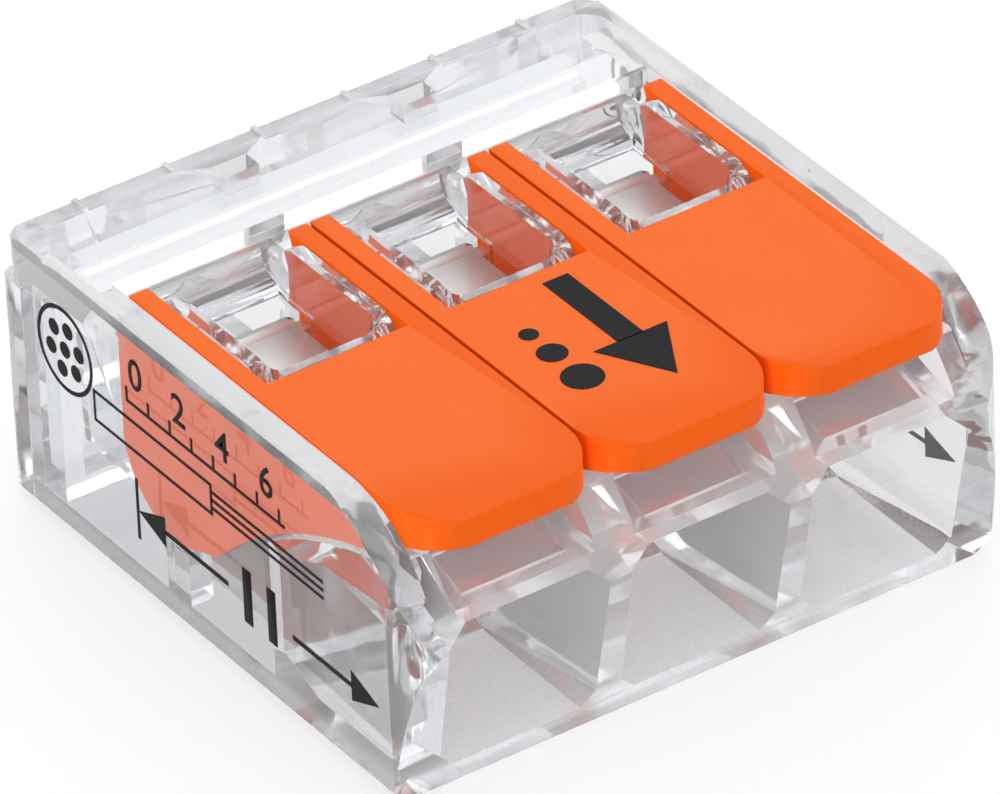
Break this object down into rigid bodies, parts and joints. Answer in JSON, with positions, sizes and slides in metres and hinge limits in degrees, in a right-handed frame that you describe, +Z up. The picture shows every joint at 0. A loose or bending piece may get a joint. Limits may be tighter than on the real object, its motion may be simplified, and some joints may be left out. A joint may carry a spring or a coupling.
{
  "type": "lever wire connector",
  "caption": "Compact splicing connector: clear housing with a row of front wire entries, each clamped by a spring under its own orange hinged lever.",
  "frame": {"origin": "middle of the underside, on the surface that the connector rests on", "axes": "+Z up towards the levers, wire entries face -Y, the poles run along X"},
  "size_m": [0.0186, 0.0186, 0.0083],
  "materials": {
    "clear_plastic": "clear, polished, with a faint grey tint",
    "orange_plastic": "satin moulded orange",
    "spring_steel": "dull rolled stainless strip",
    "tinned_copper": "matte tin plating"
  },
  "bodies": {
    "connector_body": {"housing": "clear_plastic", "rear_cover": "clear_plastic", "busbar": "tinned_copper", "spring_bow_1": "spring_steel", "spring_bow_2": "spring_steel", "spring_bow_3": "spring_steel"},
    "lever_1": {"lever_1": "orange_plastic"},
    "lever_2": {"lever_2": "orange_plastic"},
    "lever_3": {"lever_3": "orange_plastic"},
    "clamp_leg_1": {"spring_leg_1": "spring_steel"},
    "clamp_leg_2": {"spring_leg_2": "spring_steel"},
    "clamp_leg_3": {"spring_leg_3": "spring_steel"}
  },
  "joints": [
    {"name": "lever_1_hinge", "type": "hinge", "parent": "connector_body", "child": "lever_1", "pos_m": [-0.0056, 0.0019, 0.0047], "axis": [-1, 0, 0], "range_deg": [0, 85]},
    {"name": "lever_2_hinge", "type": "hinge", "parent": "connector_body", "child": "lever_2", "pos_m": [0, 0.0019, 0.0047], "axis": [-1, 0, 0], "range_deg": [0, 85]},
    {"name": "lever_3_hinge", "type": "hinge", "parent": "connector_body", "child": "lever_3", "pos_m": [0.0056, 0.0019, 0.0047], "axis": [-1, 0, 0], "range_deg": [0, 85]},
    {"name": "clamp_1_flex", "type": "hinge", "parent": "connector_body", "child": "clamp_leg_1", "pos_m": [-0.0056, -0.00178, 0.00486], "axis": [1, 0, 0], "range_deg": [0, 38.5]},
    {"name": "clamp_2_flex", "type": "hinge", "parent": "connector_body", "child": "clamp_leg_2", "pos_m": [0, -0.00178, 0.00486], "axis": [1, 0, 0], "range_deg": [0, 38.5]},
    {"name": "clamp_3_flex", "type": "hinge", "parent": "connector_body", "child": "clamp_leg_3", "pos_m": [0.0056, -0.00178, 0.00486], "axis": [1, 0, 0], "range_deg": [0, 38.5]}
  ],
  "couplings": [
    {"joint": "clamp_1_flex", "follows": "lever_1_hinge", "ratio": 0.44706},
    {"joint": "clamp_2_flex", "follows": "lever_2_hinge", "ratio": 0.44706},
    {"joint": "clamp_3_flex", "follows": "lever_3_hinge", "ratio": 0.44706}
  ]
}
